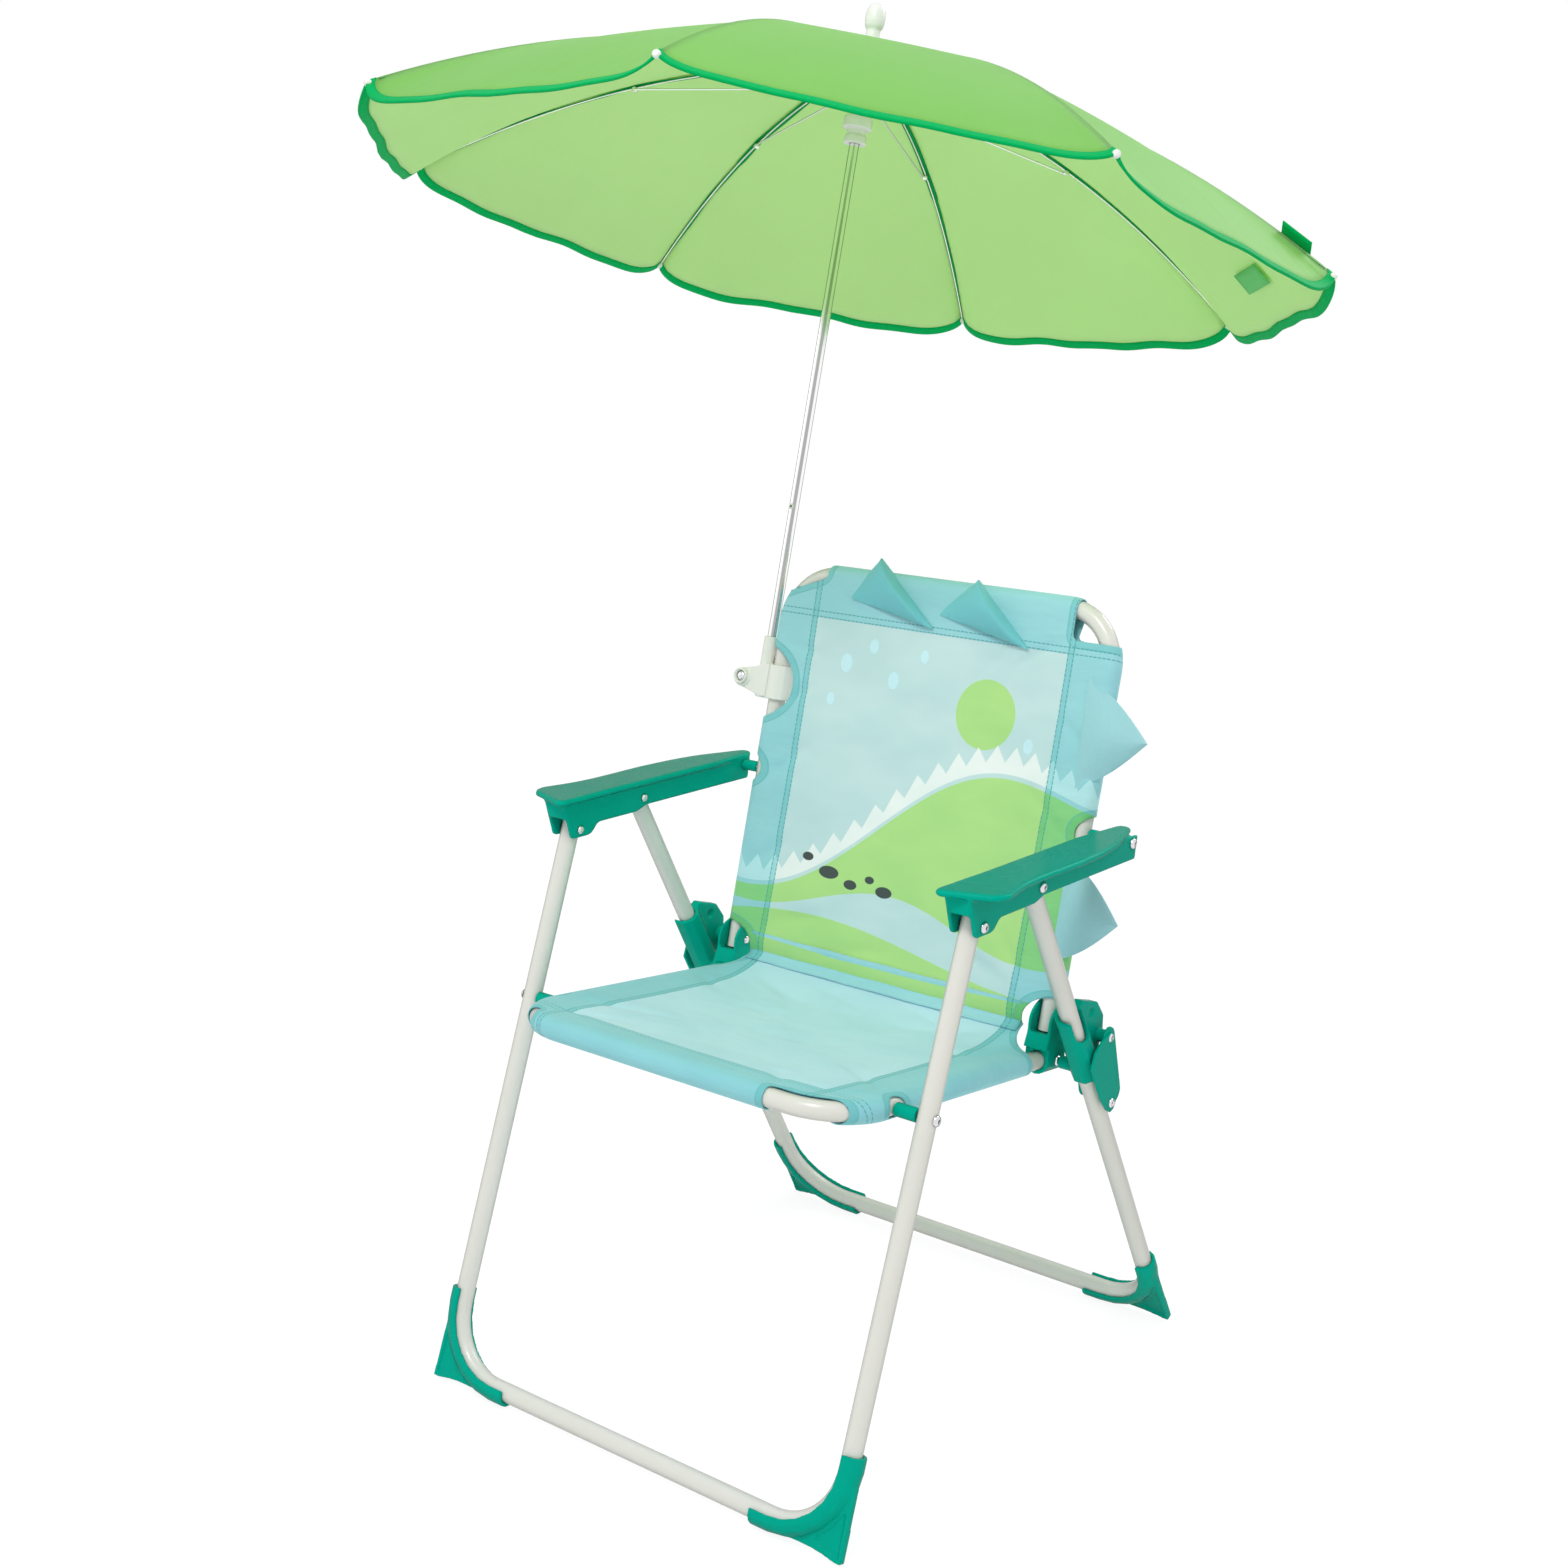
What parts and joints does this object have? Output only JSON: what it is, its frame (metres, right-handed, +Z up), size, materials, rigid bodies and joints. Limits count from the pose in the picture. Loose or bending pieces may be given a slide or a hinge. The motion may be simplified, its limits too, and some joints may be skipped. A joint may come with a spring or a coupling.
{
  "type": "umbrella chair",
  "caption": "Folding child-size armchair: bent tube frame, cloth sling seat and back, channel armrests, and a parasol clamped to the back.",
  "frame": {"origin": "on the floor, under the middle of the whole object's box with the parasol open", "axes": "+Z up, the chair faces -Y, +X towards the side away from the parasol"},
  "size_m": [0.7538, 0.806, 1.027],
  "materials": {
    "leg_tube": "glossy cream powder coat",
    "frame_tube": "glossy cream powder coat",
    "armrest_plastic": "moulded, satin gloss",
    "foot_plastic": "moulded, satin gloss",
    "joint_plastic": "moulded, satin gloss",
    "clamp_plastic": "moulded, satin",
    "parasol_plastic": "moulded, satin",
    "seat_cloth": "coated plain weave, hemmed",
    "back_cloth": "coated plain weave with a printed landscape pattern",
    "canopy_cloth": "thin water-repellent plain weave, bound hem",
    "pole": "polished",
    "parasol_wire": "plated wire",
    "fastener": "bright plated"
  },
  "bodies": {
    "front_legs": {"front_leg_frame": "leg_tube", "front_foot_left": "foot_plastic", "front_foot_right": "foot_plastic", "seat_spacer_left": "joint_plastic", "seat_spacer_right": "joint_plastic", "seat_bolt_left": "fastener", "seat_bolt_right": "fastener"},
    "armrests": {"armrest_left": "armrest_plastic", "armrest_right": "armrest_plastic", "arm_front_rivet_left": "fastener", "arm_front_rivet_right": "fastener", "arm_mid_rivet_left": "fastener", "arm_mid_rivet_right": "fastener", "arm_rear_bolt_left": "fastener", "arm_rear_bolt_right": "fastener", "back_spacer_left": "joint_plastic", "back_spacer_right": "joint_plastic"},
    "rear_legs": {"rear_leg_frame": "leg_tube", "rear_foot_left": "foot_plastic", "rear_foot_right": "foot_plastic"},
    "collars": {"leg_collar_left": "joint_plastic", "leg_collar_right": "joint_plastic", "collar_link_left": "joint_plastic", "collar_link_right": "joint_plastic", "link_rivet_left": "fastener", "link_rivet_right": "fastener"},
    "seat": {"seat_frame": "frame_tube", "seat_sling": "seat_cloth", "seat_connector_left": "joint_plastic", "seat_connector_right": "joint_plastic", "collar_bolt_left": "fastener", "collar_bolt_right": "fastener", "back_hinge_rivet_left": "fastener", "back_hinge_rivet_right": "fastener"},
    "back": {"back_frame": "frame_tube", "back_sling": "back_cloth"},
    "clamp": {"clamp_body": "clamp_plastic", "clamp_screw": "fastener", "clamp_nut": "fastener"},
    "parasol": {"parasol_pole": "pole", "parasol_hub": "parasol_plastic", "parasol_cap": "parasol_plastic", "parasol_canopy": "canopy_cloth"},
    "runner": {"parasol_runner": "parasol_plastic"},
    "rib_1": {"rib_1": "parasol_wire"},
    "stretcher_1": {"stretcher_1": "parasol_wire"},
    "rib_2": {"rib_2": "parasol_wire"},
    "stretcher_2": {"stretcher_2": "parasol_wire"},
    "rib_3": {"rib_3": "parasol_wire"},
    "stretcher_3": {"stretcher_3": "parasol_wire"},
    "rib_4": {"rib_4": "parasol_wire"},
    "stretcher_4": {"stretcher_4": "parasol_wire"},
    "rib_5": {"rib_5": "parasol_wire"},
    "stretcher_5": {"stretcher_5": "parasol_wire"},
    "rib_6": {"rib_6": "parasol_wire"},
    "stretcher_6": {"stretcher_6": "parasol_wire"},
    "rib_7": {"rib_7": "parasol_wire"},
    "stretcher_7": {"stretcher_7": "parasol_wire"},
    "rib_8": {"rib_8": "parasol_wire"},
    "stretcher_8": {"stretcher_8": "parasol_wire"}
  },
  "joints": [
    {"name": "fold", "type": "hinge", "parent": "front_legs", "child": "armrests", "pos_m": [0.1637, -0.26126, 0.4036], "axis": [-1, 0, 0], "range_deg": [0, 95]},
    {"name": "rear_leg_fold", "type": "hinge", "parent": "armrests", "child": "rear_legs", "pos_m": [0.1637, -0.18926, 0.4156], "axis": [-1, 0, 0], "range_deg": [-49, 1]},
    {"name": "collar_slide", "type": "slide", "parent": "rear_legs", "child": "collars", "axis": [0, 0.4997, -0.8662], "range_m": [-0.001, 0.084]},
    {"name": "seat_fold", "type": "hinge", "parent": "front_legs", "child": "seat", "pos_m": [0.1637, -0.30255, 0.28], "axis": [-1, 0, 0], "range_deg": [-1, 94]},
    {"name": "back_fold", "type": "hinge", "parent": "seat", "child": "back", "pos_m": [0.1637, -0.09776, 0.285], "axis": [-1, 0, 0], "range_deg": [-87.5, 1]},
    {"name": "clamp_swivel", "type": "hinge", "parent": "back", "child": "clamp", "pos_m": [0.0152, -0.0497, 0.49045], "axis": [0, -0.2278, -0.9737], "range_deg": [-1, 71]},
    {"name": "pole_lift", "type": "slide", "parent": "clamp", "child": "parasol", "axis": [0, 0.2278, 0.9737], "range_m": [0, 0.04]},
    {"name": "runner_slide", "type": "slide", "parent": "parasol", "child": "runner", "axis": [0, 0.2278, 0.9737], "range_m": [-0.3645, 0], "deforming": ["parasol_canopy"]},
    {"name": "rib_fold_1", "type": "hinge", "parent": "parasol", "child": "rib_1", "pos_m": [-0.00413, 0.05526, 0.97426], "axis": [0.8886, -0.4466, 0.1045], "range_deg": [-1, 71]},
    {"name": "stretcher_fold_1", "type": "hinge", "parent": "runner", "child": "stretcher_1", "pos_m": [-0.00191, 0.05096, 0.96089], "axis": [-0.8886, 0.4466, -0.1045], "range_deg": [-1, 86]},
    {"name": "rib_fold_2", "type": "hinge", "parent": "parasol", "child": "rib_2", "pos_m": [0.00274, 0.0547, 0.9744], "axis": [0.9527, 0.296, -0.0692], "range_deg": [-1, 71]},
    {"name": "stretcher_fold_2", "type": "hinge", "parent": "runner", "child": "stretcher_2", "pos_m": [0.00512, 0.05225, 0.96059], "axis": [-0.9527, -0.296, 0.0692], "range_deg": [-1, 86]},
    {"name": "rib_fold_3", "type": "hinge", "parent": "parasol", "child": "rib_3", "pos_m": [0.008, 0.05903, 0.97338], "axis": [0.4586, 0.8653, -0.2024], "range_deg": [-1, 71]},
    {"name": "stretcher_fold_3", "type": "hinge", "parent": "runner", "child": "stretcher_3", "pos_m": [0.00914, 0.058, 0.95925], "axis": [-0.4586, -0.8653, 0.2024], "range_deg": [-1, 86]},
    {"name": "rib_fold_4", "type": "hinge", "parent": "parasol", "child": "rib_4", "pos_m": [0.00857, 0.06571, 0.97182], "axis": [-0.304, 0.9276, -0.217], "range_deg": [-1, 71]},
    {"name": "stretcher_fold_4", "type": "hinge", "parent": "runner", "child": "stretcher_4", "pos_m": [0.00781, 0.06484, 0.95764], "axis": [0.304, -0.9276, 0.217], "range_deg": [-1, 86]},
    {"name": "rib_fold_5", "type": "hinge", "parent": "parasol", "child": "rib_5", "pos_m": [0.00413, 0.07084, 0.97062], "axis": [-0.8886, 0.4466, -0.1045], "range_deg": [-1, 71]},
    {"name": "stretcher_fold_5", "type": "hinge", "parent": "runner", "child": "stretcher_5", "pos_m": [0.00191, 0.06876, 0.95673], "axis": [0.8886, -0.4466, 0.1045], "range_deg": [-1, 86]},
    {"name": "rib_fold_6", "type": "hinge", "parent": "parasol", "child": "rib_6", "pos_m": [-0.00274, 0.0714, 0.97049], "axis": [-0.9527, -0.296, 0.0692], "range_deg": [-1, 71]},
    {"name": "stretcher_fold_6", "type": "hinge", "parent": "runner", "child": "stretcher_6", "pos_m": [-0.00512, 0.06747, 0.95703], "axis": [0.9527, 0.296, -0.0692], "range_deg": [-1, 86]},
    {"name": "rib_fold_7", "type": "hinge", "parent": "parasol", "child": "rib_7", "pos_m": [-0.008, 0.06707, 0.9715], "axis": [-0.4586, -0.8653, 0.2024], "range_deg": [-1, 71]},
    {"name": "stretcher_fold_7", "type": "hinge", "parent": "runner", "child": "stretcher_7", "pos_m": [-0.00914, 0.06172, 0.95838], "axis": [0.4586, 0.8653, -0.2024], "range_deg": [-1, 86]},
    {"name": "rib_fold_8", "type": "hinge", "parent": "parasol", "child": "rib_8", "pos_m": [-0.00857, 0.06039, 0.97307], "axis": [0.304, -0.9276, 0.217], "range_deg": [-1, 71]},
    {"name": "stretcher_fold_8", "type": "hinge", "parent": "runner", "child": "stretcher_8", "pos_m": [-0.00781, 0.05488, 0.95998], "axis": [-0.304, 0.9276, -0.217], "range_deg": [-1, 86]}
  ],
  "couplings": [
    {"joint": "rear_leg_fold", "follows": "fold", "ratio": -0.5036},
    {"joint": "collar_slide", "follows": "fold", "m_per_rad": 0.0497},
    {"joint": "seat_fold", "follows": "fold", "ratio": 0.9787},
    {"joint": "back_fold", "follows": "fold", "ratio": -0.9069},
    {"joint": "clamp_swivel", "follows": "fold", "ratio": 0.7368},
    {"joint": "rib_fold_1", "follows": "runner_slide", "rad_per_m": -3.3518},
    {"joint": "stretcher_fold_1", "follows": "runner_slide", "rad_per_m": -4.0351},
    {"joint": "rib_fold_2", "follows": "runner_slide", "rad_per_m": -3.3518},
    {"joint": "stretcher_fold_2", "follows": "runner_slide", "rad_per_m": -4.0351},
    {"joint": "rib_fold_3", "follows": "runner_slide", "rad_per_m": -3.3518},
    {"joint": "stretcher_fold_3", "follows": "runner_slide", "rad_per_m": -4.0351},
    {"joint": "rib_fold_4", "follows": "runner_slide", "rad_per_m": -3.3518},
    {"joint": "stretcher_fold_4", "follows": "runner_slide", "rad_per_m": -4.0351},
    {"joint": "rib_fold_5", "follows": "runner_slide", "rad_per_m": -3.3518},
    {"joint": "stretcher_fold_5", "follows": "runner_slide", "rad_per_m": -4.0351},
    {"joint": "rib_fold_6", "follows": "runner_slide", "rad_per_m": -3.3518},
    {"joint": "stretcher_fold_6", "follows": "runner_slide", "rad_per_m": -4.0351},
    {"joint": "rib_fold_7", "follows": "runner_slide", "rad_per_m": -3.3518},
    {"joint": "stretcher_fold_7", "follows": "runner_slide", "rad_per_m": -4.0351},
    {"joint": "rib_fold_8", "follows": "runner_slide", "rad_per_m": -3.3518},
    {"joint": "stretcher_fold_8", "follows": "runner_slide", "rad_per_m": -4.0351}
  ]
}
